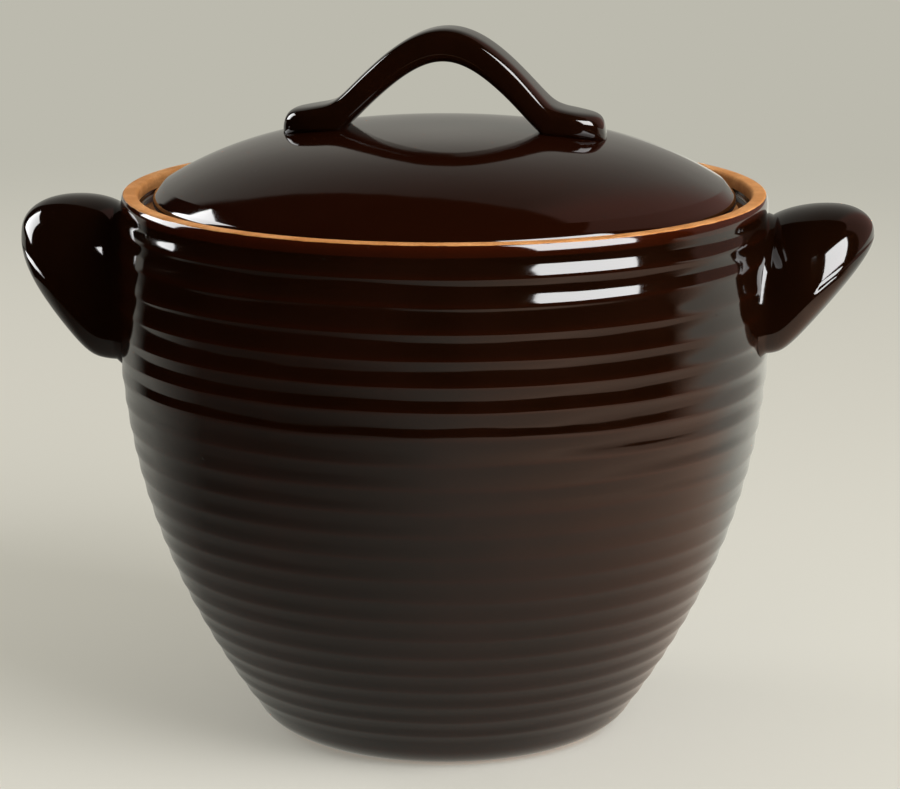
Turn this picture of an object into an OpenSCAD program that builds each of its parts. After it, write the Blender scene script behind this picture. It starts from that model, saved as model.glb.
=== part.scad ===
// Stoneware bean pot: a ribbed, glazed pot with two solid lugs and a loose domed lid
// with an arched strap handle. Millimetres, +Z up, origin under the middle of the foot.
// The lugs lie along X.

/* [Pot] */
// Height from the table to the flat of the rim
pot_h = 182.6; // [165:0.2:210]
// Outer radius at the rim
rim_r = 108; // [104:0.5:112]
// Outer radius at the widest place
belly_r = 109.4; // [108:0.2:116]
// Height of the widest place
belly_z = 150; // [130:1:160]
// Radius that the wall would have at the table if the foot had no rounding
foot_r = 58.6; // [50:0.2:70]
// How late the wall turns in towards the foot
wall_curve = 2.27; // [1.8:0.01:3]
// Thickness of the wall
wall_t = 6; // [4:0.1:9]
// Thickness of the floor
floor_t = 8; // [5:0.1:12]
// Rounding of the foot
foot_round = 6.8; // [3:0.1:10]
// Rounding inside, between the wall and the floor
corner_round = 16; // [8:0.5:24]
// Radius of the shallow hollow under the foot
hollow_r = 42; // [25:1:46]
// Depth of the hollow under the foot
hollow_d = 1.2; // [0.4:0.1:3]

/* [Ribs] */
// Depth of the grooves between the throwing ribs
rib_depth = 0.5; // [0.3:0.05:1.4]
// Width of a rib under the rim, measured along the wall
rib_pitch_top = 8.9; // [6:0.1:12]
// Width of a rib at the foot, measured along the wall
rib_pitch_foot = 6.3; // [5:0.1:12]
// How late the ribs close up towards the foot
rib_crowding = 2.6; // [1:0.1:4]
// Plain band between the rim and the first groove
rib_band = 13.5; // [6:0.5:16]

/* [Rim and ledge] */
// Width of the rim, flat and roundings together
rim_w = 5.9; // [4:0.1:8]
// Rounding of the rim's two edges
rim_round = 1.2; // [0.5:0.1:2]
// Height of the bare clay band at the rim
bare_h = 1.6; // [1.2:0.1:4]
// Depth of the ledge that carries the lid, below the rim
ledge_drop = 6; // [4:0.1:10]
// Width of the ledge
ledge_w = 10; // [8.5:0.1:12]
// Height of the ledge's inner edge
ledge_h = 4; // [2:0.1:8]
// Height over which the ledge runs back into the wall
ledge_taper = 16; // [8:0.5:30]

/* [Lid] */
// Gap between the lid's edge and the rim
lid_gap = 4.9; // [3:0.1:6]
// Rise of the dome above the lid's edge
dome_rise = 20.8; // [12:0.1:30]
// How flat the dome's top is
dome_curve = 3.1; // [2:0.05:4]
// Thickness of the lid
lid_t = 6; // [4:0.1:8]
// Height of the lid's rounded edge
edge_h = 6.4; // [5:0.1:9]
// Rounding of the lid's edge
edge_round = 3.6; // [2:0.1:3.8]
// Gap between the lid's flange and the ledge
flange_gap = 1.5; // [0.8:0.1:3]
// Thickness of the flange
flange_t = 5; // [3:0.1:8]
// Depth of the flange below the ledge
flange_d = 7; // [4:0.1:12]
// How far the lid is turned in its seat
lid_turn = 4.5; // [-45:0.5:45]

/* [Handle] */
// Top of the handle above the dome
handle_rise = 33; // [28:0.5:40]
// Length of the handle over its two feet
handle_l = 108; // [100:1:124]
// Width of the strap
strap_w = 19; // [14:0.5:26]
// Width of the two feet
foot_w = 22; // [16:0.5:28]
// Thickness of the strap
strap_t = 10.2; // [7:0.1:11]
// Thickness of the two feet
foot_t = 8.6; // [7:0.1:11]
// Radius of the arch, at the middle of the strap
arch_r = 26; // [20:0.5:30]
// Steepness of the strap's flanks
flank_angle = 46; // [38:1:52]
// Radius of the bend between flank and foot, at the middle of the strap
bend_r = 12; // [8:0.5:16]

/* [Lugs] */
// How far the lugs stand out beyond the rim
lug_reach = 35; // [28:0.5:44]
// Top of the lugs below the rim
lug_drop = 3.3; // [2:0.1:10]
// Rounding of a lug's outer end, seen from the front
lug_round = 13; // [10:0.1:15]
// Rounding over a lug's crest, which is half its thickness there
crest_round = 7; // [5:0.1:9]
// Width of a lug's heel, low on the wall
heel_w = 46; // [36:0.5:56]
// Rounding of the heel's edges
heel_round = 9; // [6:0.1:12]
// Bottom of the heel below the rim
heel_drop = 53.3; // [46:0.1:66]
// How much lower the left lug's heel lies
left_heel_extra = 4.6; // [0:0.1:8]
// Fall of a lug's top from its outer end to the wall
root_fall = 4.9; // [1:0.1:8]

/* [Joins] */
// How deep lugs and handle are pressed into the clay that carries them
bite = 0.6; // [0.3:0.1:1.5]

/* [Hidden] */

glaze = "#2a130c";
clay = "#d98f4e";
round_fn = 240;

// Rim, ledge and lid share these radii and heights
seat_r = rim_r - rim_w;
ledge_r = seat_r - ledge_w;
ledge_z = pot_h - ledge_drop;
lid_r = seat_r - lid_gap;
flange_r = ledge_r - flange_gap;
dome_z = ledge_z + edge_h;
bare_z = pot_h - bare_h;

// ---- Wall of the pot ----

// Outer radius over the rib crests at height z
function wall_r(z) = z < belly_z
    ? belly_r - (belly_r - foot_r) * pow((belly_z - z) / belly_z, wall_curve)
    : belly_r - (belly_r - rim_r) * pow((z - belly_z) / (pot_h - belly_z), 2);

// Slope of the wall at height z
function wall_slope(z) = z < belly_z
    ? (belly_r - foot_r) * wall_curve / belly_z
        * pow((belly_z - z) / belly_z, wall_curve - 1)
    : -2 * (belly_r - rim_r) * (z - belly_z) / pow(pot_h - belly_z, 2);

// How far a quarter-round corner of radius r draws in at height h above its start
function corner_in(h, r) = h < r ? r - sqrt(r * r - pow(r - h, 2)) : 0;

// Inner radius at height z, the wall's thickness taken square to the wall
function inner_r(z) =
    wall_r(z) - wall_t * sqrt(1 + pow(wall_slope(z), 2)) - corner_in(z - floor_t, corner_round);

// Heights of the grooves, from z downwards
function rib_pitch(z) =
    rib_pitch_top - (rib_pitch_top - rib_pitch_foot) * pow(1 - z / pot_h, rib_crowding);
function groove_heights(z) = z < foot_round
    ? []
    : concat([z], groove_heights(z - rib_pitch(z) / sqrt(1 + pow(wall_slope(z), 2))));

grooves = groove_heights(pot_h - rib_band);
rib_steps = 6;

// One rib between two grooves, from its lower groove up
function rib_points(low, high) = [
    for (i = [0 : rib_steps - 1])
        let (u = i / rib_steps, z = low + (high - low) * u)
        [wall_r(z) - rib_depth * (1 + cos(360 * u)) / 2, z]
];

foot_steps = 6;
foot_points = [
    for (i = [0 : foot_steps])
        let (z = foot_round * (1 - cos(90 * i / foot_steps)))
        [wall_r(z) - corner_in(z, foot_round), z]
];
rib_wall = [
    for (i = [len(grooves) - 1 : -1 : 1])
        each rib_points(grooves[i], grooves[i - 1])
];

rim_steps = 4;
// Quarter round at the rim: centre, then start and end angle
function rim_arc(x, from, to) = [
    for (i = [0 : rim_steps])
        let (a = from + (to - from) * i / rim_steps)
        [x + rim_round * cos(a), pot_h - rim_round + rim_round * sin(a)]
];

inner_steps = 24;
inner_crowding = 1.6; // above 1, the points crowd into the round corner at the floor
inner_top = ledge_z - ledge_h - ledge_taper;
inner_wall = [
    for (i = [0 : inner_steps])
        let (
            u = pow(1 - i / inner_steps, inner_crowding),
            z = floor_t + (inner_top - floor_t) * u
        )
        [inner_r(z), z]
];

module ring(points) {
    rotate_extrude($fn = round_fn) polygon(points);
}

module pot_body() {
    color(glaze) ring(concat(
        [[0, hollow_d], [hollow_r - hollow_d, hollow_d], [hollow_r, 0]],
        foot_points,
        rib_wall,
        [[wall_r(grooves[0]) - rib_depth, grooves[0]]],
        [[wall_r(grooves[0] + rib_depth), grooves[0] + rib_depth]],
        [[rim_r, bare_z], [seat_r, bare_z]],
        [[seat_r, ledge_z], [ledge_r, ledge_z], [ledge_r, ledge_z - ledge_h]],
        inner_wall,
        [[0, floor_t]]
    ));
    color(clay) ring(concat(
        [[seat_r, bare_z], [rim_r, bare_z]],
        rim_arc(rim_r - rim_round, 0, 90),
        rim_arc(seat_r + rim_round, 90, 180)
    ));
}

// ---- Lugs ----

lug_x = rim_r + lug_reach - lug_round;
lug_z = pot_h - lug_drop - lug_round;
ball_fn = 32;
core_steps = 8;

// Radius to which a lug reaches into the wall at height z
function root_at(z) = wall_r(z) - rib_depth - bite;

// The part of the pot that a lug is cut to, from height low up
module wall_core(low) {
    ring(concat(
        [[0, low]],
        [for (i = [0 : core_steps])
            let (z = low + (pot_h - low) * i / core_steps)
            [root_at(z), z]],
        [[0, pot_h]]
    ));
}

module ball(r, x, z) {
    translate([x, 0, z]) sphere(r, $fn = ball_fn);
}

// The outer end of a lug: a thick disc with a round edge, standing along X
module lug_tip() {
    translate([lug_x, 0, lug_z]) rotate([90, 0, 0]) rotate_extrude($fn = ball_fn)
        intersection() {
            translate([lug_round - crest_round, 0]) circle(crest_round, $fn = ball_fn);
            translate([0, -crest_round]) square([lug_round, 2 * crest_round]);
        }
}

// A lug on the +X side: narrow at its crest, broad at its heel, and cut to the wall
module lug(heel_z) {
    heel_ball_z = heel_z + heel_round;
    heel_x = root_at(heel_ball_z);
    heel_turn = asin((heel_w / 2 - heel_round) / heel_x);
    crest_ball_z = lug_z + lug_round - root_fall - crest_round;
    color(glaze) difference() {
        hull() {
            lug_tip();
            ball(crest_round, root_at(crest_ball_z), crest_ball_z);
            for (a = [-heel_turn, heel_turn])
                rotate([0, 0, a]) ball(heel_round, heel_x, heel_ball_z);
        }
        wall_core(heel_z - heel_round);
    }
}

module lug_right() {
    lug(pot_h - heel_drop);
}

module lug_left() {
    mirror([1, 0, 0]) lug(pot_h - heel_drop - left_heel_extra);
}

// ---- Lid ----

// Height of the dome's outer surface at radius r
function dome_at(r) = dome_z + dome_rise * (1 - pow(r / lid_r, dome_curve));
function dome_slope(r) = dome_rise * dome_curve / lid_r * pow(r / lid_r, dome_curve - 1);

// Radius where the rounded edge takes over from the dome
shoulder_r = lid_r - edge_round / 2;
under_r = flange_r - flange_t;

dome_steps = 24;
dome_top = [
    for (i = [0 : dome_steps])
        let (r = shoulder_r * sin(90 * i / dome_steps))
        [r, dome_at(r)]
];
dome_under = [
    for (i = [dome_steps : -1 : 0])
        let (r = under_r * sin(90 * i / dome_steps))
        [r, dome_at(r) - lid_t * sqrt(1 + pow(dome_slope(r), 2))]
];
edge_steps = 6;
edge_top_angle = 30; // where the round of the edge ends, and the dome's slope begins
edge_points = [
    for (i = [0 : edge_steps])
        let (a = edge_top_angle - (edge_top_angle + 90) * i / edge_steps)
        [lid_r - edge_round + edge_round * cos(a), ledge_z + edge_round + edge_round * sin(a)]
];

module lid_dome() {
    color(glaze) ring(concat(
        dome_top,
        edge_points,
        [[flange_r, ledge_z], [flange_r, ledge_z - flange_d], [under_r, ledge_z - flange_d]],
        dome_under
    ));
}

// ---- Handle of the lid ----

// The strap's middle line, for x from 0 to the end: arch, flank, bend and foot
arch_z = dome_at(0) + handle_rise - strap_t / 2;
flank_x = arch_r * sin(flank_angle);
flank_z = arch_z - arch_r * (1 - cos(flank_angle));
foot_z = dome_at(flank_x + bend_r) + foot_t / 2;
flank_l = (flank_z - foot_z - bend_r * (1 - cos(flank_angle))) / sin(flank_angle);
bend_x = flank_x + flank_l * cos(flank_angle) + bend_r * sin(flank_angle);
end_x = handle_l / 2;

arch_steps = 10;
bend_steps = 6;
foot_rings = 10;
end_flat = 0.14; // width of the flat that closes a foot's round end, as a share of the foot's

// Points of the middle line with the strap's form there:
// x, z, direction, half width and half thickness
half_line = concat(
    [for (i = [0 : arch_steps])
        let (a = flank_angle * i / arch_steps)
        [arch_r * sin(a), arch_z - arch_r * (1 - cos(a)), a, strap_w / 2, strap_t / 2]],
    [for (i = [0 : bend_steps])
        let (u = i / bend_steps, a = flank_angle * (1 - u))
        [bend_x - bend_r * sin(a), foot_z + bend_r * (1 - cos(a)), a,
            (strap_w + (foot_w - strap_w) * u) / 2, (strap_t + (foot_t - strap_t) * u) / 2]],
    [for (i = [1 : foot_rings])
        let (x = bend_x + (end_x - bend_x) * sin(90 * i / foot_rings))
        [x, dome_at(x) + foot_t / 2, 0, foot_w / 2 * round_end(x), foot_t / 2]]
);

// Narrowing of the foot towards its round end
function round_end(x) = let (start = end_x - foot_w / 2)
    x < start ? 1 : sqrt(max(pow(end_flat, 2), 1 - pow((x - start) / (end_x - start), 2)));

strap_line = concat(
    [for (i = [len(half_line) - 1 : -1 : 1])
        let (p = half_line[i])
        [-p[0], p[1], -p[2], p[3], p[4]]],
    half_line
);

side_steps = 32;
corner_power = 0.5; // 1 gives an oval strap, and less a squarer one
function soft(v) = sign(v) * pow(abs(v), corner_power);

// One ring of the strap round a point of its middle line. The feet end on the dome.
function strap_ring(p) = [
    for (i = [0 : side_steps - 1])
        let (
            a = 360 * i / side_steps,
            y = p[3] * soft(cos(a)),
            t = min(p[3], p[4]) * soft(sin(a)),
            x = p[0] + t * sin(p[2]),
            z = p[1] + t * cos(p[2])
        )
        [x, y, max(z, dome_at(norm([x, y])) - bite)]
];

module loft(rings) {
    n = len(rings[0]);
    last = len(rings) - 1;
    polyhedron(
        points = [for (ring = rings) each ring],
        faces = concat(
            [[for (i = [0 : n - 1]) i]],
            [for (k = [0 : last - 1], i = [0 : n - 1])
                let (a = k * n + i, b = k * n + (i + 1) % n)
                each [[a, a + n, b + n], [a, b + n, b]]],
            [[for (i = [n - 1 : -1 : 0]) last * n + i]]
        )
    );
}

module lid_handle() {
    color(glaze) rotate([0, 0, -lid_turn]) loft([for (p = strap_line) strap_ring(p)]);
}

pot_body();
lug_left();
lug_right();
lid_dome();
lid_handle();
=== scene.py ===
import functools
import math

import bpy
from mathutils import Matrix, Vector


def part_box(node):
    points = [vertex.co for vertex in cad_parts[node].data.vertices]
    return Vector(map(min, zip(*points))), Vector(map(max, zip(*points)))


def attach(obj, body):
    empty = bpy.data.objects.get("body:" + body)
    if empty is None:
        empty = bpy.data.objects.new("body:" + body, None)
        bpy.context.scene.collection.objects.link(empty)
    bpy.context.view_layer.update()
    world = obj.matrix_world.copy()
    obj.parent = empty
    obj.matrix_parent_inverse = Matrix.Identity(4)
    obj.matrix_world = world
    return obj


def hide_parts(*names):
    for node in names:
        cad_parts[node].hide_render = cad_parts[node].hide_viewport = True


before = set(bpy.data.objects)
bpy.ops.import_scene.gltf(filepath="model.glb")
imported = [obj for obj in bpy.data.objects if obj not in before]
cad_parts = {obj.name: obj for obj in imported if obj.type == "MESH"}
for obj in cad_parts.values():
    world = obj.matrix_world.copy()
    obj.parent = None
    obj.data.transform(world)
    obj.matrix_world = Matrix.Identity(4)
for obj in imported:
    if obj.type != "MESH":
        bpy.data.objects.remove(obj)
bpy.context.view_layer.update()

mm = 0.001  # the outlines below are in millimetres, as the pot was measured
fullTurn = 2 * math.pi

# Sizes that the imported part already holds, in millimetres
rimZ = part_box("pot_body")[1][2] / mm
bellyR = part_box("pot_body")[1][0] / mm
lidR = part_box("lid_dome")[1][0] / mm
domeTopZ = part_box("lid_dome")[1][2] / mm
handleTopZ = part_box("lid_handle")[1][2] / mm


# Adds one node with its settings. Inputs are values, or sockets to link, and the output
# that is asked for comes back.
def addNode(tree, kind, inputs=(), out=0, **settings):
    node = tree.nodes.new(kind)
    for name, value in settings.items():
        setattr(node, name, value)
    pairs = inputs.items() if isinstance(inputs, dict) else enumerate(inputs)
    for key, value in pairs:
        if isinstance(value, bpy.types.NodeSocket):
            tree.links.new(value, node.inputs[key])
        else:
            node.inputs[key].default_value = value
    return node.outputs[out] if len(node.outputs) else node


def linearColour(hexColour):
    parts = [int(hexColour[i:i + 2], 16) / 255 for i in (1, 3, 5)]
    return [p / 12.92 if p <= 0.04045 else ((p + 0.055) / 1.055) ** 2.4 for p in parts] + [1]


def smoothStep(low, high, value):
    t = min(1, max(0, (value - low) / (high - low)))
    return t * t * (3 - 2 * t)


def softMax(a, b, soft):
    return (a + b) / 2 + math.hypot((a - b) / 2, soft)


def signedPower(value, power):
    return math.copysign(abs(value) ** power, value)


# The photograph looks down a little from about a metre away, with a long lens. The pot is
# turned so that its right lug is the nearer one, so here the camera goes round it instead.
cameraView = {
    "distance": 1.100,
    "height": 0.3584,
    "sideways": 0.00187,
    "aroundPot": 4.5,  # degrees
    "down": 12.61,
    "lens": 133.36,
}

around = math.radians(cameraView["aroundPot"])
cameraData = bpy.data.cameras.new("camera")
cameraData.lens = cameraView["lens"]
cameraData.sensor_width = 36
cameraData.clip_end = 50
camera = bpy.data.objects.new("camera", cameraData)
bpy.context.scene.collection.objects.link(camera)
camera.location = (
    cameraView["sideways"] * math.cos(around) + cameraView["distance"] * math.sin(around),
    cameraView["sideways"] * math.sin(around) - cameraView["distance"] * math.cos(around),
    cameraView["height"],
)
camera.rotation_euler = (math.radians(90 - cameraView["down"]), 0, around)
bpy.context.scene.camera = camera
print("camera placed")


potSizes = {
    "rimRadius": 107.8,  # outer radius just under the rim
    "bellyHeight": 150,  # where the wall is widest
    "footRadius": 58.6,  # where the wall would meet the table
    "wallCurve": 2.27,
    "neckCurve": 2.4,
    "wall": 6,
    "floor": 8,
    "footRound": 6.8,
    "insideRound": 16,
    "hollowRadius": 42,
    "hollowDepth": 1.2,
    "ribBand": 6.1,  # plain band under the rim
    "ribPitchTop": 8.5,
    "ribPitchFoot": 6.8,
    "ribCrowding": 1.8,  # how quickly the ribs close up towards the foot
    "ribDepthTop": 0.62,  # the first two ribs are the deepest
    "ribDepth": 0.33,
    "ribCrest": 0.5,  # where the crest lies between two grooves
    "ribHollow": 2.0,  # 1 is a straight underside, 2 the hollow that a fingertip leaves
    "rimWidth": 5.8,
    "rollWidth": 1.4,  # the glaze rolls over the rim's outer edge
    "rollHeight": 4.0,
    "innerRound": 1.3,
    "bareInside": 4,  # how far the bare clay comes down inside the rim
    "ledgeDrop": 6,
    "ledgeWidth": 10,
    "ledgeEdge": 4,
    "ledgeTaper": 16,
}
p = potSizes
seatR = p["rimRadius"] - p["rimWidth"]
ledgeR = seatR - p["ledgeWidth"]
ledgeZ = rimZ - p["ledgeDrop"]


def wallRadius(z):
    if z < p["bellyHeight"]:
        t = (p["bellyHeight"] - z) / p["bellyHeight"]
        return bellyR - (bellyR - p["footRadius"]) * t ** p["wallCurve"]
    t = (z - p["bellyHeight"]) / (rimZ - p["bellyHeight"])
    return bellyR - (bellyR - p["rimRadius"]) * t ** p["neckCurve"]


def wallSlope(z):
    return wallRadius(z + 0.5) - wallRadius(z - 0.5)


# Quarter round: how far it draws in at height h above its start
def cornerIn(h, radius):
    return radius - math.sqrt(radius ** 2 - (radius - h) ** 2) if h < radius else 0


def innerRadius(z):
    thick = p["wall"] * math.hypot(1, wallSlope(z))
    return wallRadius(z) - thick - cornerIn(z - p["floor"], p["insideRound"])


def ribDepth(z):
    return p["ribDepth"] + (p["ribDepthTop"] - p["ribDepth"]) * smoothStep(162.5, 165.5, z)


# Heights of the grooves between the throwing ribs, from the foot up
grooves = [rimZ - p["ribBand"]]
while grooves[0] > p["footRound"]:
    closing = (1 - grooves[0] / rimZ) ** p["ribCrowding"]
    pitch = p["ribPitchTop"] - (p["ribPitchTop"] - p["ribPitchFoot"]) * closing
    grooves.insert(0, grooves[0] - pitch / math.hypot(1, wallSlope(grooves[0])))
grooves.pop(0)


# The wall's mean radius at height z, for the pieces that are luted to it
def ribbedRadius(z):
    inRibs = grooves[0] < z < rimZ
    return wallRadius(z) - (ribDepth(z) * 0.6 if inRibs else 0)


def arc(x, z, radius, start, end, steps):
    for i in range(steps + 1):
        a = math.radians(start + (end - start) * i / steps)
        yield x + radius * math.cos(a), z + radius * math.sin(a)


# A tree that turns an outline into a solid of revolution. The outline's vertices run in order
# and carry the ribs' phase and depth, and the distance to the nearest edge of the glaze.
def wheelTree():
    tree = bpy.data.node_groups.new("turnedOnWheel", "GeometryNodeTree")
    for name, kind in (
        ("Outline", "NodeSocketGeometry"),
        ("Steps Around", "NodeSocketInt"),
        ("Rib Crest", "NodeSocketFloat"),
        ("Rib Hollow", "NodeSocketFloat"),
        ("Rib Wander", "NodeSocketFloat"),
        ("Unevenness", "NodeSocketFloat"),
        ("Seed", "NodeSocketFloat"),
        ("Material", "NodeSocketMaterial"),
    ):
        tree.interface.new_socket(name, in_out="INPUT", socket_type=kind)
    tree.interface.new_socket("Solid", in_out="OUTPUT", socket_type="NodeSocketGeometry")
    add = functools.partial(addNode, tree)
    group = add("NodeGroupInput").node.outputs
    outline = group["Outline"]
    crestAt = group["Rib Crest"]

    # A grid with one column for each step round the pot, and one row for each outline point
    count = add("GeometryNodeAttributeDomainSize", {0: outline}, "Point Count")
    columns = add("ShaderNodeMath", (group["Steps Around"], 1.0), operation="ADD")
    grid = add("GeometryNodeMeshGrid", {
        "Size X": 1.0, "Size Y": 1.0, "Vertices X": columns, "Vertices Y": count,
    })
    index = add("GeometryNodeInputIndex")
    row = add("ShaderNodeMath", (index, count), operation="MODULO")
    column = add("ShaderNodeMath", (index, row), operation="SUBTRACT")
    column = add("ShaderNodeMath", (column, count), operation="DIVIDE")
    share = add("ShaderNodeMath", (column, group["Steps Around"]), operation="DIVIDE")
    angle = add("ShaderNodeMath", (share, fullTurn), operation="MULTIPLY")
    carried = []
    for name in ("ribPhase", "ribDepth", "bareDistance"):
        value = add("GeometryNodeInputNamedAttribute", {"Name": name}, "Attribute")
        inputs = {"Geometry": outline, "Value": value, "Index": row}
        carried.append(add("GeometryNodeSampleIndex", inputs, "Value"))
    phase, depth, bare = carried
    inputs = {"Geometry": outline, "Value": add("GeometryNodeInputPosition"), "Index": row}
    place = add("GeometryNodeSampleIndex", inputs, "Value", data_type="FLOAT_VECTOR")
    place = add("ShaderNodeSeparateXYZ", (place,)).node.outputs
    cosine = add("ShaderNodeMath", (angle,), operation="COSINE")
    sine = add("ShaderNodeMath", (angle,), operation="SINE")

    # The hand leaves each rib a little deeper here and shallower there, and strays up and down
    strayShare = 0.16  # of the distance between two ribs
    seeded = add("ShaderNodeMath", (cosine, group["Seed"]), operation="ADD")
    upward = add("ShaderNodeMath", (phase, 0.7), operation="MULTIPLY")
    drift = add("ShaderNodeCombineXYZ", (seeded, sine, upward))
    swell = add("ShaderNodeTexNoise", {"Vector": drift, "Scale": 1.5, "Detail": 3.0})
    swell = add("ShaderNodeMath", (swell, 0.5), operation="SUBTRACT")
    swell = add("ShaderNodeMath", (swell, group["Rib Wander"]), operation="MULTIPLY")
    moved = add("ShaderNodeMath", (swell, strayShare, phase), operation="MULTIPLY_ADD")
    fraction = add("ShaderNodeMath", (moved,), operation="FRACT")

    # Underside: hollow, from the groove out to the crest, which is slightly rounded
    crestRounding = 0.003
    atCrest = math.sqrt(crestRounding)
    toCrest = add("ShaderNodeMath", (fraction, crestAt), operation="DIVIDE")
    toCrest = add("ShaderNodeMath", (1.0, toCrest), operation="SUBTRACT", use_clamp=True)
    soft = add("ShaderNodeMath", (toCrest, toCrest, crestRounding), operation="MULTIPLY_ADD")
    soft = add("ShaderNodeMath", (soft,), operation="SQRT")
    soft = add("ShaderNodeMath", (soft, atCrest), operation="SUBTRACT")
    soft = add("ShaderNodeMath", (soft, 1 / (math.sqrt(1 + crestRounding) - atCrest)), operation="MULTIPLY")
    fromGroove = add("ShaderNodeMath", (1.0, soft), operation="SUBTRACT", use_clamp=True)
    under = add("ShaderNodeMath", (fromGroove, group["Rib Hollow"]), operation="POWER")
    under = add("ShaderNodeMath", (1.0, under), operation="SUBTRACT")
    # Shoulder: a nearly even slope from the crest in to the next groove
    evenShare = 0.6
    halfWave = (1 - evenShare) / 2
    shoulderWidth = add("ShaderNodeMath", (1.0, crestAt), operation="SUBTRACT")
    past = add("ShaderNodeMath", (fraction, crestAt), operation="SUBTRACT")
    past = add("ShaderNodeMath", (past, shoulderWidth), operation="DIVIDE", use_clamp=True)
    wave = add("ShaderNodeMath", (past, math.pi), operation="MULTIPLY")
    wave = add("ShaderNodeMath", (wave,), operation="COSINE")
    wave = add("ShaderNodeMath", (wave, -halfWave, halfWave), operation="MULTIPLY_ADD")
    shoulder = add("ShaderNodeMath", (past, evenShare, wave), operation="MULTIPLY_ADD")
    # The underside is 1 in the groove and 0 at the crest, and so is the shoulder after it
    isUnder = add("ShaderNodeMath", (fraction, crestAt), operation="LESS_THAN")
    groove = add("ShaderNodeMix", {0: isUnder, 2: shoulder, 3: under})
    depth = add("ShaderNodeMath", (swell, depth, depth), operation="MULTIPLY_ADD")
    cut = add("ShaderNodeMath", (groove, depth), operation="MULTIPLY")

    # Nothing turned by hand is quite round. Nearly all the dents go in from the true outline.
    dentSize = 62.5 * mm
    dentLevel = 0.67
    roundness = add("ShaderNodeCombineXYZ", (
        add("ShaderNodeMath", (cosine, place[0]), operation="MULTIPLY"),
        add("ShaderNodeMath", (sine, place[0]), operation="MULTIPLY"),
        add("ShaderNodeMath", (place[2], group["Seed"]), operation="ADD"),
    ))
    dent = add("ShaderNodeTexNoise", {"Vector": roundness, "Scale": 1 / dentSize, "Detail": 1.5})
    dent = add("ShaderNodeMath", (dent, dentLevel), operation="SUBTRACT")
    radius = add("ShaderNodeMath", (dent, group["Unevenness"], place[0]), operation="MULTIPLY_ADD")
    radius = add("ShaderNodeMath", (radius, cut), operation="SUBTRACT")
    radius = add("ShaderNodeMath", (radius, 0.0), operation="MAXIMUM")
    offAxis = add("ShaderNodeMath", (place[0], 1e-6), operation="GREATER_THAN")
    radius = add("ShaderNodeMath", (radius, offAxis), operation="MULTIPLY")
    spot = add("ShaderNodeCombineXYZ", (
        add("ShaderNodeMath", (cosine, radius), operation="MULTIPLY"),
        add("ShaderNodeMath", (sine, radius), operation="MULTIPLY"),
        place[2],
    ))

    # What the glaze needs to know: how far into bare clay, and how near to the crest of a rib
    isRibbed = add("ShaderNodeMath", (depth, 0.0), operation="GREATER_THAN")
    crest = add("ShaderNodeMath", (groove, isRibbed), operation="MULTIPLY")
    crest = add("ShaderNodeMath", (1.0, crest), operation="SUBTRACT")
    shape = grid
    for name, value in (("bareDistance", bare), ("ribCrest", crest)):
        inputs = {"Geometry": shape, "Name": name, "Value": value}
        shape = add("GeometryNodeStoreNamedAttribute", inputs, data_type="FLOAT", domain="POINT")
    shape = add("GeometryNodeSetPosition", {"Geometry": shape, "Position": spot})
    shape = add("GeometryNodeMergeByDistance", {"Geometry": shape, "Distance": 1e-6})
    shape = add("GeometryNodeSetShadeSmooth", {"Geometry": shape})
    shape = add("GeometryNodeRealizeInstances", {"Geometry": shape})
    shape = add("GeometryNodeSetMaterial", {"Geometry": shape, "Material": group["Material"]})
    add("NodeGroupOutput", (shape,))
    return tree


wheel = wheelTree()


# outline: (radius, height, rib phase, rib depth, distance into bare clay), in millimetres
def turnPiece(name, outline, settings):
    mesh = bpy.data.meshes.new(name + ".outline")
    points = [(point[0] * mm, 0, point[1] * mm) for point in outline]
    mesh.from_pydata(points, [(i, i + 1) for i in range(len(points) - 1)], [])
    for column, attribute, scale in ((2, "ribPhase", 1), (3, "ribDepth", mm), (4, "bareDistance", 1)):
        data = mesh.attributes.new(attribute, "FLOAT", "POINT").data
        data.foreach_set("value", [point[column] * scale for point in outline])
    blank = bpy.data.objects.new(name + ".blank", mesh)
    bpy.context.scene.collection.objects.link(blank)
    modifier = blank.modifiers.new("wheel", "NODES")
    modifier.node_group = wheel
    sockets = {item.name: item.identifier for item in wheel.interface.items_tree}
    for key, value in settings.items():
        modifier[sockets[key]] = value
    graph = bpy.context.evaluated_depsgraph_get()
    solid = bpy.data.meshes.new_from_object(blank.evaluated_get(graph))
    blank.modifiers.remove(modifier)
    bpy.data.objects.remove(blank)
    solid.name = name
    piece = bpy.data.objects.new(name, solid)
    bpy.context.scene.collection.objects.link(piece)
    print(name, "turned,", len(solid.polygons), "faces")
    return piece


# Joins closed rings of points into a skin, closed at both ends
def skinPiece(name, rings, material):
    count = len(rings[0])
    points = [point * mm for ring in rings for point in ring]
    faces = []
    for k in range(len(rings) - 1):
        for i in range(count):
            a, b = k * count + i, k * count + (i + 1) % count
            faces.append((a, a + count, b + count, b))
    for k, order in ((0, 1), (len(rings) - 1, -1)):
        ring = list(range(k * count, (k + 1) * count))
        points.append(sum((points[i] for i in ring), Vector()) / count)
        hub = len(points) - 1
        faces += [(ring[i], ring[(i + 1) % count], hub)[::order] for i in range(count)]
    mesh = bpy.data.meshes.new(name)
    mesh.from_pydata(points, [], faces)
    mesh.polygons.foreach_set("use_smooth", [True] * len(mesh.polygons))
    mesh.materials.append(material)
    piece = bpy.data.objects.new(name, mesh)
    bpy.context.scene.collection.objects.link(piece)
    print(name, "built,", len(mesh.polygons), "faces")
    return piece


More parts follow.
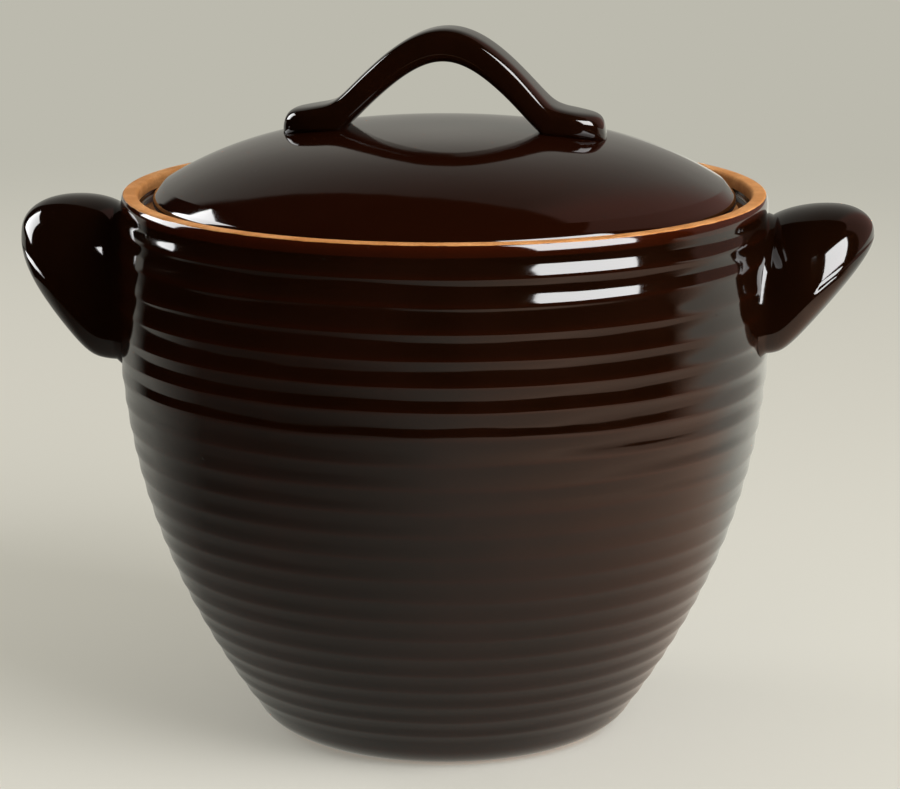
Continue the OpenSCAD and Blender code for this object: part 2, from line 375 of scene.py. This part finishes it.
# Glazed stoneware: a thick, glossy iron-brown glaze, almost black where it lies deep and
# redder where it thins over an edge or a rib, over an orange-tan body that shows bare at the
# rim, the foot and the lid's seat. bareDistance is millimetres into the bare clay.
glazeLook = {
    "deep": "#140702",
    "pooled": "#1a0a04",
    "thin": "#341004",
    "clay": "#e0a064",
    "clayShade": "#c88548",
    "clayGrit": "#a8652f",
    "thinOnRibs": 0.25,  # how much of the thin glaze's colour a crest shows
    "smooth": 0.04,  # roughness of the glaze, what smears add to it, and what bare clay adds
    "smeared": 0.05,
    "bare": 0.75,
    "cloud": 38,  # sizes in millimetres
    "smear": 14,
    "ripple": 9,
    "pinholes": 7,  # the glaze is divided into cells of this size
    "pinholeShare": 0.16,  # of the cells
    "edgeWander": 7,
    "clayPatch": 12,
    "grit": 0.9,  # real grit is about half as coarse, which wouldn't show
}


def glazedStoneware(name, hasBareClay):
    look = glazeLook
    material = bpy.data.materials.new(name)
    material.use_nodes = True
    tree = material.node_tree
    tree.nodes.clear()
    add = functools.partial(addNode, tree)
    place = add("ShaderNodeTexCoord", out="Object")

    cloud = add("ShaderNodeTexNoise", {"Vector": place, "Scale": 1 / (look["cloud"] * mm), "Detail": 2.0})
    cloud = add("ShaderNodeMapRange", (cloud, 0.35, 0.7), interpolation_type="SMOOTHSTEP")
    deep, pooled = linearColour(look["deep"]), linearColour(look["pooled"])
    colour = add("ShaderNodeMix", {0: cloud, 6: deep, 7: pooled}, 2, data_type="RGBA")
    thin = add("ShaderNodeAttribute", out="Fac", attribute_name="ribCrest")
    thin = add("ShaderNodeMath", (thin, 5.0), operation="POWER")
    thin = add("ShaderNodeMath", (thin, look["thinOnRibs"]), operation="MULTIPLY")
    smear = add("ShaderNodeTexNoise", {"Vector": place, "Scale": 1 / (look["smear"] * mm), "Detail": 2.0})
    roughness = add("ShaderNodeMath", (smear, look["smeared"], look["smooth"]), operation="MULTIPLY_ADD")
    ripple = add("ShaderNodeTexNoise", {"Vector": place, "Scale": 1 / (look["ripple"] * mm), "Detail": 1.0})
    surface = add("ShaderNodeBump", {"Height": ripple, "Distance": 0.05 * mm, "Strength": 0.5})

    # A few burst bubbles, each a rimmed pinhole well under a millimetre across
    cells = add("ShaderNodeTexVoronoi", {"Vector": place, "Scale": 1 / (look["pinholes"] * mm)})
    chosen = add("ShaderNodeSeparateXYZ", (cells.node.outputs["Color"],))
    chosen = add("ShaderNodeMath", (chosen, 1 - look["pinholeShare"]), operation="GREATER_THAN")
    hole = add("ShaderNodeMapRange", (cells, 0.075, 0.03), interpolation_type="SMOOTHSTEP")
    hole = add("ShaderNodeMath", (hole, chosen), operation="MULTIPLY")
    surface = add("ShaderNodeBump", {
        "Height": hole, "Distance": 0.12 * mm, "Strength": 0.8, "Normal": surface,
    })

    if hasBareClay:
        distance = add("ShaderNodeAttribute", out="Fac", attribute_name="bareDistance")
        wander = add("ShaderNodeTexNoise", {
            "Vector": place, "Scale": 1 / (look["edgeWander"] * mm), "Detail": 2.0,
        })
        distance = add("ShaderNodeMath", (wander, 0.3, distance), operation="MULTIPLY_ADD")
        distance = add("ShaderNodeMath", (distance, 0.15), operation="SUBTRACT")
        edge = add("ShaderNodeMapRange", (distance, -1.5, -0.05), interpolation_type="SMOOTHSTEP")
        thin = add("ShaderNodeMath", (thin, edge), operation="MAXIMUM")
        colour = add("ShaderNodeMix", {
            0: thin, 6: colour, 7: linearColour(look["thin"]),
        }, 2, data_type="RGBA")
        bare = add("ShaderNodeMapRange", (distance, -0.06, 0.06), interpolation_type="SMOOTHSTEP")
        grit = add("ShaderNodeTexNoise", {"Vector": place, "Scale": 1 / (look["grit"] * mm), "Detail": 3.0})
        grit = add("ShaderNodeMapRange", (grit, 0.35, 0.65), interpolation_type="SMOOTHSTEP")
        shade = add("ShaderNodeTexNoise", {
            "Vector": place, "Scale": 1 / (look["clayPatch"] * mm), "Detail": 2.0,
        })
        shade = add("ShaderNodeMapRange", (shade, 0.3, 0.7), interpolation_type="SMOOTHSTEP")
        clay = add("ShaderNodeMix", {
            0: shade, 6: linearColour(look["clay"]), 7: linearColour(look["clayShade"]),
        }, 2, data_type="RGBA")
        speck = add("ShaderNodeMath", (grit, 0.25), operation="MULTIPLY")
        clay = add("ShaderNodeMix", {
            0: speck, 6: clay, 7: linearColour(look["clayGrit"]),
        }, 2, data_type="RGBA")
        colour = add("ShaderNodeMix", {0: bare, 6: colour, 7: clay}, 2, data_type="RGBA")
        roughness = add("ShaderNodeMath", (bare, look["bare"], roughness), operation="MULTIPLY_ADD")
        grain = add("ShaderNodeMath", (grit, bare), operation="MULTIPLY")
        surface = add("ShaderNodeBump", {
            "Height": grain, "Distance": 0.08 * mm, "Strength": 0.7, "Normal": surface,
        })
    shader = add("ShaderNodeBsdfPrincipled", {
        "Base Color": colour, "Roughness": roughness, "Normal": surface, "IOR": 1.5,
    })
    add("ShaderNodeOutputMaterial", (shader,))
    return material


potGlaze = glazedStoneware("stoneware.glazedWithBareRim", True)
plainGlaze = glazedStoneware("stoneware.glazed", False)


def potOutline():
    def at(r, z, bare=-9.0, phase=-1.0, depth=0.0):
        return (r, z, phase, depth, bare)

    outline = [at(0, p["hollowDepth"], 9)]
    for r in (20, 36, p["hollowRadius"] - p["hollowDepth"]):
        outline.append(at(r, p["hollowDepth"], 9))
    outline.append(at(p["hollowRadius"] - 0.3, 0.15, 9))
    outline.append(at(p["hollowRadius"], 0, 9))
    glazeFoot = 1.0  # the glaze was wiped off below this height
    for i in range(9):
        z = p["footRound"] * (1 - math.cos(math.pi / 2 * i / 8))
        outline.append(at(wallRadius(z) - cornerIn(z, p["footRound"]), z, glazeFoot - z))
    crest = p["ribCrest"]
    shares = [crest * i / 8 for i in range(8)] + [crest + (1 - crest) * i / 6 for i in range(6)]
    for k in range(len(grooves) - 1):
        low, high = grooves[k], grooves[k + 1]
        for share in shares:
            z = low + (high - low) * share
            outline.append(at(wallRadius(z), z, -9, k + share, ribDepth(z)))
    # Above the last groove the wall stands upright, up to the roll of the rim
    last = len(grooves) - 1
    neckR = wallRadius(grooves[-1]) - ribDepth(grooves[-1])
    rollZ = rimZ - p["rollHeight"]
    for i in range(4):
        depth = ribDepth(grooves[-1]) * (1 - i / 4)
        z = grooves[-1] + (rollZ - grooves[-1]) * i / 4
        outline.append(at(neckR + depth, z, -9, last, depth))
    lineR = neckR - 0.8  # where the glaze ends on the rim
    for i in range(13):
        a = math.pi / 2 * i / 12
        r = neckR - p["rollWidth"] * (1 - math.cos(a))
        outline.append(at(r, rollZ + p["rollHeight"] * math.sin(a), lineR - r))
    inner = p["innerRound"]
    for r in (seatR + 3, seatR + inner):
        outline.append(at(r, rimZ, 2))
    for r, z in arc(seatR + inner, rimZ - inner, inner, 105, 180, 7):
        outline.append(at(r, z, 2))
    for drop in (2.5, 3.4, p["bareInside"], 4.6):
        outline.append(at(seatR, rimZ - drop, p["bareInside"] - drop))
    for r, z in arc(seatR - 1, ledgeZ + 1, 1, 0, -90, 5):
        outline.append(at(r, z, -2))
    # The lid stands on the inner part of the ledge, which is bare again
    for r in (seatR - 3, seatR - 4, seatR - 5):
        outline.append(at(r, ledgeZ, seatR - 4 - r))
    for r, z in arc(ledgeR + 1, ledgeZ - 1, 1, 90, 180, 5):
        outline.append(at(r, z, r - ledgeR - 0.5))
    under = ledgeZ - p["ledgeEdge"]
    low = under - p["ledgeTaper"]
    for i in range(9):
        t = i / 8
        z = under + (low - under) * t
        outline.append(at(ledgeR + (innerRadius(low) - ledgeR) * smoothStep(0, 1, t), z))
    for i in range(1, 41):
        z = p["floor"] + (low - p["floor"]) * (1 - i / 40) ** 1.5
        outline.append(at(innerRadius(z), z))
    for r in (30, 15, 0):
        outline.append(at(r, p["floor"]))
    return outline


pot = turnPiece("pot.wall", potOutline(), {
    "Steps Around": 224, "Rib Crest": p["ribCrest"], "Rib Hollow": p["ribHollow"],
    "Rib Wander": 1.1, "Unevenness": 0.0005, "Seed": 3.0, "Material": potGlaze,
})
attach(pot, "pot")
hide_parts("pot_body")


# Each lug was pressed by hand, so the two differ. Distances run outwards from the wall, and
# heights are from the table.
lugSizes = {
    "right": {
        "halfWidth": 29.5, "crest": (18.6, 179.3), "tip": (33.5, 169.6), "rootTop": 174.4,
        "heel": 132.6, "heelRun": 5.9, "heelSlope": 1.2, "heelEase": 3.0,
    },
    "left": {
        "halfWidth": 26.5, "crest": (13.4, 179.4), "tip": (33.5, 166.5), "rootTop": 175.6,
        "heel": 126.6, "heelRun": 8.6, "heelSlope": 1.26, "heelEase": 3.6,
    },
    "roundFrom": 12,  # distance from the wall where the lug starts to round off to its tip
    "pinch": 0.14,  # how much narrower the top is at the wall
    "crownRadius": 43,  # the section's top, flank and lower edge
    "flankRadius": 26,
    "edgeRadius": 8,
    "fillet": 1.3,
    "sink": 1.0,
}


# Half the lug's section, from the middle of its crown round to the middle of its underside:
# half width from 0 to 1, depth below the crown in millimetres, and the share that the point
# has in the straight stretch of flank
def lugSection():
    s = lugSizes
    y = z = 0
    points = [(0, 0, 0)]
    for start, end, radius, steps in (
        (90, 66, s["crownRadius"], 7), (66, 6, s["flankRadius"], 13), (6, -90, s["edgeRadius"], 12),
    ):
        if end < 0:  # the straight stretch, which takes up the rest of the height
            points += [(y, z, i / 5) for i in range(1, 6)]
        for i in range(steps):
            facing = math.radians(start + (end - start) * (i + 0.5) / steps)
            run = radius * math.radians(start - end) / steps
            y += run * math.sin(facing)
            z += run * math.cos(facing)
            points.append((y, z, points[-1][2]))
    points += [(y * (1 - i / 5), z, 1) for i in range(1, 6)]
    broad = max(y for y, z, lower in points)
    return [(y / broad, z, lower) for y, z, lower in points]


def lugPiece(name, side, own):
    s = lugSizes
    (crestD, crestZ), (tipD, tipZ) = own["crest"], own["tip"]
    power = 2.25  # 2 would round the tip as an ellipse

    def topLine(d):
        if d < crestD:
            return own["rootTop"] + (crestZ - own["rootTop"]) * (1 - (1 - d / crestD) ** 2.2)
        t = min(1, (d - crestD) / (tipD - crestD))
        return tipZ + (crestZ - tipZ) * (1 - t ** power) ** (1 / power)

    def heelLine(d):
        run = d - own["heelRun"]
        return own["heel"] + own["heelSlope"] * (run + math.hypot(run, own["heelEase"])) / 2

    def lowLine(d):
        t = min(1, max(0, d / tipD)) ** 7
        return heelLine(d) + (tipZ - heelLine(tipD)) * (1 - (1 - t) ** (1 / power))

    section = lugSection()
    deep = section[-1][1]
    steps = 48
    rings = []
    for k in range(-2, steps + 1):
        if k < 0:  # tucked into the wall, so that no edge shows
            d = (-s["sink"], -0.1)[k + 2]
            flare = s["fillet"]
        else:
            d = tipD * (1 - (1 - k / steps) ** 1.9)
            flare = cornerIn(min(d, s["fillet"]), s["fillet"])
        at = min(max(0, d), tipD * 0.9999)
        low, top = lowLine(at), topLine(at)
        out = max(0, at - s["roundFrom"]) / (tipD - s["roundFrom"])
        broad = own["halfWidth"] * math.sqrt(1 - out * out)
        pinch = s["pinch"] * (1 - smoothStep(0, 13, at))
        tall = top - low
        fits = min(1, tall / deep)
        spare = max(0, tall - deep)
        half = []
        for y, z, lower in section:
            z = top - z * fits - spare * lower
            half.append((broad * y * (1 - pinch * ((z - low) / tall) ** 1.6), z))
        loop = half + [(-y, z) for y, z in half[-2:0:-1]]
        ring = []
        for i, (y, z) in enumerate(loop):
            (ya, za), (yb, zb) = loop[i - 1], loop[(i + 1) % len(loop)]
            length = math.hypot(yb - ya, zb - za) or 1
            y -= flare * (zb - za) / length
            z += flare * (yb - ya) / length
            fade = smoothStep(2, 14, d)
            radius = ribbedRadius(z) * (1 - fade) + bellyR * fade + d
            ring.append(Vector((side * math.sqrt(radius ** 2 - y ** 2), -side * y, z)))
        rings.append(ring[::-1])
    return skinPiece(name, rings, plainGlaze)


for name, side, own, node in (
    ("lug.right", 1, lugSizes["right"], "lug_right"),
    ("lug.left", -1, lugSizes["left"], "lug_left"),
):
    lug = lugPiece(name, side, own)
    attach(lug, "pot")
    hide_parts(node)


lidSizes = {
    "domeCurve": 3.1,
    "thickness": 6,
    "edgeHeight": 6.4,
    "edgeRound": 3.4,
    "flangeGap": 1.5,
    "flange": 5,
    "flangeDepth": 7,
}
q = lidSizes
domeBase = ledgeZ + q["edgeHeight"]
domeRise = domeTopZ - domeBase
flangeR = ledgeR - q["flangeGap"]


def domeHeight(r):
    return domeBase + domeRise * (1 - (r / lidR) ** q["domeCurve"])


def domeSlope(r):
    return domeRise * q["domeCurve"] / lidR * (r / lidR) ** (q["domeCurve"] - 1)


def lidOutline():
    def at(r, z, bare=-9.0):
        return (r, z, -1.0, 0.0, bare)

    underR = flangeR - q["flange"]
    outline = []
    for i in range(25):
        r = underR * math.sin(math.pi / 2 * i / 24)
        z = domeHeight(r) - q["thickness"] * math.hypot(1, domeSlope(r))
        outline.append(at(r, z))
    foot = ledgeZ - q["flangeDepth"]
    for r, z in arc(underR + 1, foot + 1, 1, 180, 270, 5):
        outline.append(at(r, z))
    for r, z in arc(flangeR - 1, foot + 1, 1, 270, 360, 5):
        outline.append(at(r, z, z - foot))
    outline.append(at(flangeR, ledgeZ - 0.8, 5))
    for r in (flangeR + 0.3, flangeR + 1):
        outline.append(at(r, ledgeZ, 5))
    edge = q["edgeRound"]
    edgeX, edgeZ = lidR - edge, ledgeZ + edge
    outline.append(at(edgeX - 0.4, ledgeZ, 0.4))
    for r, z in arc(edgeX, edgeZ, edge, -90, 52, 18):
        outline.append(at(r, z, -1 - (z - ledgeZ)))
    shoulder = lidR - 3.6
    for i in range(1, 41):
        r = shoulder * math.cos(math.pi / 2 * i / 40)
        outline.append(at(max(0, r), domeHeight(max(0, r))))
    return outline


lid = turnPiece("lid.dome", lidOutline(), {
    "Steps Around": 256, "Rib Crest": 0.5, "Rib Hollow": 1.0,
    "Rib Wander": 0.0, "Unevenness": 0.0004, "Seed": 8.0, "Material": potGlaze,
})
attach(lid, "lid")
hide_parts("lid_dome")


# The strap is bent from one flat strip. Its top runs over the arch and in a soft bend on to
# the feet; its underside comes down to the dome at a corner. Both arches are hyperbolas,
# which are round at the top and run out into straight flanks.
handleSizes = {
    "turned": 4.5,  # degrees that the lid is turned in its seat
    "length": 108.4,
    "strapWidth": 19,
    "footWidth": 22,
    "archThickness": 11.2,
    "topRound": 50,  # how round the arch is on top, and how steep its flanks are
    "topSteep": 1.58,
    "underRound": 24,
    "underSteep": 1.24,
    "footThickness": 7.8,
    "bend": 1.8,  # softness of the bend on to the feet
    "lean": 1.0,  # the arch leans a little to the right
    "cornerX": 32,  # where the underside meets the dome, and the top's station there
    "cornerTopX": 39.5,
    "square": 0.48,  # 1 is an oval section, 0 a square-edged one
    "sink": 0.6,
}


def handlePiece():
    h = handleSizes
    endX = h["length"] / 2
    footHalf = h["footWidth"] / 2
    cornerX = h["cornerX"]
    cornerTopX = h["cornerTopX"]
    apexZ = handleTopZ - 0.15  # the soft bend lifts the arch by nearly as much

    def topLine(x):
        arch = apexZ - math.hypot(h["topRound"], h["topSteep"] * x) + h["topRound"]
        return softMax(arch, domeHeight(x) + h["footThickness"], h["bend"])

    def underLine(x):
        top = handleTopZ - h["archThickness"] + h["underRound"]
        return softMax(top - math.hypot(h["underRound"], h["underSteep"] * x), domeHeight(x) - 1.2, 0.8)

    stations = []  # top x and z, underside x and z, half width, squareness
    for i in range(45):
        x = cornerTopX * i / 44
        under = x * cornerX / cornerTopX
        wide = h["strapWidth"] + (h["footWidth"] - h["strapWidth"]) * smoothStep(24, cornerTopX, x)
        stations.append((x, topLine(x), under, underLine(under), wide / 2, h["square"]))
    for i in range(1, 33):
        t = math.sin(math.pi / 2 * i / 32)
        x = cornerTopX + (endX - cornerTopX) * t
        under = cornerX + (endX - cornerX) * t
        past = max(0, (x - endX + footHalf) / footHalf)
        tip = (1 - min(0.9999, past) ** 2.3) ** (1 / 2.3)
        height = (1 - min(0.99, past) ** 7) ** 0.4
        low = domeHeight(under) - 1.2
        top = low + (topLine(x) - low) * height
        stations.append((x, top, under, low, footHalf * tip, h["square"] + 0.3 * past))
    stations = [(-a, b, -c, d, w, s) for a, b, c, d, w, s in stations[:0:-1]] + stations

    turned = math.radians(-h["turned"])
    steps = 56
    rings = []
    for tx, tz, ux, uz, wide, soft in stations:
        ring = []
        for i in range(steps):
            b = fullTurn * i / steps
            y = wide * signedPower(math.cos(b), soft)
            t = 0.5 + 0.5 * signedPower(math.sin(b), soft)
            x, z = ux + (tx - ux) * t, uz + (tz - uz) * t
            z = max(z, domeHeight(math.hypot(x, y)) - h["sink"])
            x += h["lean"] * max(0, z - domeTopZ) / (handleTopZ - domeTopZ)
            ring.append(Vector((
                x * math.cos(turned) - y * math.sin(turned),
                x * math.sin(turned) + y * math.cos(turned), z,
            )))
        rings.append(ring)
    return skinPiece("lid.handle", rings, plainGlaze)


handle = handlePiece()
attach(handle, "lid")
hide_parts("lid_handle")


# A sheet of pale paper, in metres. The camera sees it evenly pale far behind the pot. In the
# glaze it is seen up to its front edge as a glowing painted reflection, with painted shade
# on the left and a painted pool of light front right, and the room beyond is dark.
paperSheet = {
    "radius": 9.0,
    "near": "#f0ede4",
    "nearGlow": "#dcd9cd",
    "nearShare": 0.3,  # how much of it the camera sees without the shadows
    "far": "#bcbaae",
    "evenFrom": 0.40,
    "evenTo": 1.30,
    # The sheet's glow in the glaze is painted light: painted shade on the left, a painted pool of light
    # front right
    "mirroredReach": 0.54,  # in front and on the left
    "paintedShadeLeft": 0.08,
    "leftX": -0.40,
    "rightX": 0.28,
    "mirroredBeside": 0.75,  # past the brightest patch, a painted pool of light, which lies front right
    "besideFrom": 0.30,
    "besideTo": 0.42,
    "leftSlant": 0.65,  # on the left, the sheet reaches far only behind this slanting line
    "leftSoft": 0.12,
    "mirroredBehind": 0.42,
    "behindFrom": -0.12,
    "behindTo": 0.15,
    # a warm tint on the right of the painted reflection, in front
    "warmFrom": -0.05,
    "warmTo": 0.25,
    "mirroredNeutral": "#faf8ea",
    "mirroredWarm": "#ffd9c0",
}


def tablePiece():
    t = paperSheet
    mesh = bpy.data.meshes.new("table")
    sides = 64
    ring = [(math.cos(fullTurn * i / sides), math.sin(fullTurn * i / sides)) for i in range(sides)]
    mesh.from_pydata([(t["radius"] * x, t["radius"] * y, 0) for x, y in ring], [], [range(sides)])
    table = bpy.data.objects.new("table", mesh)
    bpy.context.scene.collection.objects.link(table)
    material = bpy.data.materials.new("paper.pale")
    material.use_nodes = True
    tree = material.node_tree
    tree.nodes.clear()
    add = functools.partial(addNode, tree)
    place = add("ShaderNodeTexCoord", out="Object")
    x, y, z = add("ShaderNodeSeparateXYZ", (place,)).node.outputs
    light = add("ShaderNodeLightPath").node.outputs

    paper = add("ShaderNodeBsdfDiffuse", (linearColour(t["near"]),))
    far = add("ShaderNodeMapRange", (y, t["evenFrom"], t["evenTo"]), interpolation_type="SMOOTHSTEP")
    glow, even = linearColour(t["nearGlow"]), linearColour(t["far"])
    even = add("ShaderNodeMix", {0: far, 6: glow, 7: even}, 2, data_type="RGBA")
    even = add("ShaderNodeEmission", (even,))
    far = add("ShaderNodeMapRange", (far, 0.0, 1.0, t["nearShare"], 1.0))
    far = add("ShaderNodeMath", (far, light["Is Camera Ray"]), operation="MULTIPLY")
    shown = add("ShaderNodeMixShader", (far, paper, even))
    # For glossy rays the sheet glows as a painted reflection: painted shade on the left, a painted pool of
    # light front right, warm on the right
    level = add("ShaderNodeMapRange", (x, t["leftX"], t["rightX"]))
    level = add("ShaderNodeMath", (level, level, t["paintedShadeLeft"]), operation="MULTIPLY_ADD")
    beside = add("ShaderNodeMapRange", (x, t["besideFrom"], t["besideTo"], 1.0, t["mirroredBeside"]))
    level = add("ShaderNodeMath", (level, beside), operation="MULTIPLY")
    atBack = add("ShaderNodeMapRange", (y, t["behindFrom"], t["behindTo"], 0.0, t["mirroredBehind"]))
    level = add("ShaderNodeMath", (level, atBack), operation="MAXIMUM")
    away = add("ShaderNodeVectorMath", (place,), "Value", operation="LENGTH")
    reach = t["mirroredReach"]
    near = add("ShaderNodeMapRange", (away, reach + 0.015, reach), interpolation_type="SMOOTHSTEP")
    onLeft = add("ShaderNodeMath", (x, 0.0), operation="MINIMUM")
    behind = add("ShaderNodeMath", (onLeft, t["leftSlant"], y), operation="MULTIPLY_ADD")
    soft = t["leftSoft"]
    behind = add("ShaderNodeMapRange", (behind, -soft, soft), interpolation_type="SMOOTHSTEP")
    covered = add("ShaderNodeMath", (near, behind), operation="MAXIMUM")
    level = add("ShaderNodeMath", (level, covered), operation="MULTIPLY")
    toWarm = add("ShaderNodeMapRange", (x, t["warmFrom"], t["warmTo"]), interpolation_type="SMOOTHSTEP")
    inFront = add("ShaderNodeMapRange", (y, 0.20, 0.0), interpolation_type="SMOOTHSTEP")
    toWarm = add("ShaderNodeMath", (toWarm, inFront), operation="MULTIPLY")
    neutral, warm = linearColour(t["mirroredNeutral"]), linearColour(t["mirroredWarm"])
    tint = add("ShaderNodeMix", {0: toWarm, 6: neutral, 7: warm}, 2, data_type="RGBA")
    mirrored = add("ShaderNodeEmission", (tint, level))
    mixed = add("ShaderNodeMixShader", (light["Is Glossy Ray"], shown, mirrored))
    add("ShaderNodeOutputMaterial", (mixed,))
    mesh.materials.append(material)
    print("paper laid")


tablePiece()


# Direction angles: azimuth 0 is towards the photograph's camera, positive to its right
def direction(azimuth, elevation):
    a, e = math.radians(azimuth) + around, math.radians(elevation)
    return Vector((math.sin(a) * math.cos(e), -math.cos(a) * math.cos(e), math.sin(e)))


# Softboxes: the lamp lights, and its white front is what the glaze mirrors
softboxes = {
    "softbox.right": {
        "azimuth": 49, "elevation": 29, "distance": 1.5, "width": 1.05, "height": 1.12,
        "power": 22, "glow": 17,
    },
    "softbox.left": {
        "azimuth": -117, "elevation": 22, "distance": 1.5, "width": 0.7, "height": 0.85,
        "power": 5, "glow": 10,
    },
}


def softbox(name, own):
    towards = direction(own["azimuth"], own["elevation"])
    facing = towards.to_track_quat("Z", "Y")
    spot = Vector((0, 0, 0.12)) + towards * own["distance"]
    data = bpy.data.lights.new(name, "AREA")
    data.shape = "RECTANGLE"
    data.size, data.size_y, data.energy = own["width"], own["height"], own["power"]
    lamp = bpy.data.objects.new(name, data)
    lamp.location = spot
    lamp.rotation_euler = facing.to_euler()
    lamp.visible_glossy = False
    bpy.context.scene.collection.objects.link(lamp)
    mesh = bpy.data.meshes.new(name + ".front")
    x, y = own["width"] / 2, own["height"] / 2
    corners = [(-x, -y, 0), (x, -y, 0), (x, y, 0), (-x, y, 0)]
    mesh.from_pydata([spot + facing @ Vector(corner) for corner in corners], [], [(0, 1, 2, 3)])
    material = bpy.data.materials.new(name + ".cloth")
    material.use_nodes = True
    tree = material.node_tree
    tree.nodes.clear()
    glowing = addNode(tree, "ShaderNodeEmission", {"Strength": own["glow"]})
    addNode(tree, "ShaderNodeOutputMaterial", (glowing,))
    material.cycles.emission_sampling = "NONE"
    mesh.materials.append(material)
    front = bpy.data.objects.new(name + ".front", mesh)
    bpy.context.scene.collection.objects.link(front)
    front.visible_camera = front.visible_diffuse = front.visible_shadow = False
    front.visible_transmission = False


for name, own in softboxes.items():
    softbox(name, own)
print("softboxes set")


# The room as the glaze mirrors it: a pale surround behind, with an edge that arches up from
# the left, warmer on the right. It is dark in front and overhead.
roomLook = {
    "plain": "#bcbaae",
    "surround": "#e2dfd4",
    "warm": "#f0baae",
    "low": 0.50,
    "lowAt": 0.25,  # heights, as the sine of the angle over the level
    "high": 0.15,
    "highAt": 0.83,
    "warmLevel": 0.34,
    "fill": 0.66,
    "dark": 0.004,
    "edgeTop": 1.7,  # how high the edge stands, as the tangent of its angle over the level
    "edgeFrom": 162,  # angles round the pot, anticlockwise from the camera's side
    "edgeTo": 224,
    "rightEnd": 94,
    "leftEnd": 209.5,
    "warmEnd": 163,
}


def room():
    look = roomLook
    world = bpy.data.worlds.new("room")
    bpy.context.scene.world = world
    world.use_nodes = True
    tree = world.node_tree
    tree.nodes.clear()
    add = functools.partial(addNode, tree)
    towards = add("ShaderNodeTexCoord", out="Generated")
    toRight = add("ShaderNodeVectorMath", (towards, direction(90, 0)), "Value", operation="DOT_PRODUCT")
    toFront = add("ShaderNodeVectorMath", (towards, direction(0, 0)), "Value", operation="DOT_PRODUCT")
    height = add("ShaderNodeSeparateXYZ", (towards,)).node.outputs[2]
    azimuth = add("ShaderNodeMath", (toRight, toFront), operation="ARCTAN2")
    azimuth = add("ShaderNodeMath", (azimuth, fullTurn), operation="FLOORED_MODULO")
    azimuth = add("ShaderNodeMath", (azimuth, 180 / math.pi), operation="MULTIPLY")

    # How steeply this direction rises, and how much of the edge's height lies above it. The
    # surround's ends fade over a few degrees.
    level = add("ShaderNodeMath", (toRight, toRight), operation="MULTIPLY")
    level = add("ShaderNodeMath", (toFront, toFront, level), operation="MULTIPLY_ADD")
    level = add("ShaderNodeMath", (level,), operation="SQRT")
    rise = add("ShaderNodeMath", (height, level), operation="DIVIDE")
    past = add("ShaderNodeMapRange", (azimuth, look["edgeFrom"], look["edgeTo"]))
    edge = add("ShaderNodeMath", (past, past), operation="MULTIPLY")
    edge = add("ShaderNodeMath", (edge, -look["edgeTop"], look["edgeTop"]), operation="MULTIPLY_ADD")
    above = add("ShaderNodeMath", (edge, rise), operation="SUBTRACT")
    under = add("ShaderNodeMapRange", (above, -0.02, 0.02))
    end = look["rightEnd"]
    fromRight = add("ShaderNodeMapRange", (azimuth, end, end + 5), interpolation_type="SMOOTHSTEP")
    end = look["leftEnd"]
    toLeft = add("ShaderNodeMapRange", (azimuth, end, end - 3), interpolation_type="SMOOTHSTEP")
    seen = add("ShaderNodeMath", (under, fromRight), operation="MULTIPLY")
    seen = add("ShaderNodeMath", (seen, toLeft), operation="MULTIPLY")

    # Brightest near the table, and falling off upwards
    glow = add("ShaderNodeMapRange", (height, look["lowAt"], look["highAt"], look["low"], look["high"]))
    end = look["warmEnd"]
    onRight = add("ShaderNodeMapRange", (azimuth, end, end - 13), interpolation_type="SMOOTHSTEP")
    glow = add("ShaderNodeMix", {0: onRight, 2: glow, 3: look["warmLevel"]})
    strength = add("ShaderNodeMath", (glow, seen, look["dark"]), operation="MULTIPLY_ADD")
    pale, warm = linearColour(look["surround"]), linearColour(look["warm"])
    colour = add("ShaderNodeMix", {0: onRight, 6: pale, 7: warm}, 2, data_type="RGBA")
    plain = linearColour(look["plain"])
    mirrored = add("ShaderNodeBackground", (colour, strength))
    fill = add("ShaderNodeBackground", (plain, look["fill"]))
    shown = add("ShaderNodeBackground", (plain, 1.0))
    light = add("ShaderNodeLightPath").node.outputs
    mixed = add("ShaderNodeMixShader", (light["Is Glossy Ray"], fill, mirrored))
    mixed = add("ShaderNodeMixShader", (light["Is Camera Ray"], mixed, shown))
    add("ShaderNodeOutputWorld", (mixed,))


room()
bpy.context.scene.view_settings.view_transform = "Standard"
print("light set")
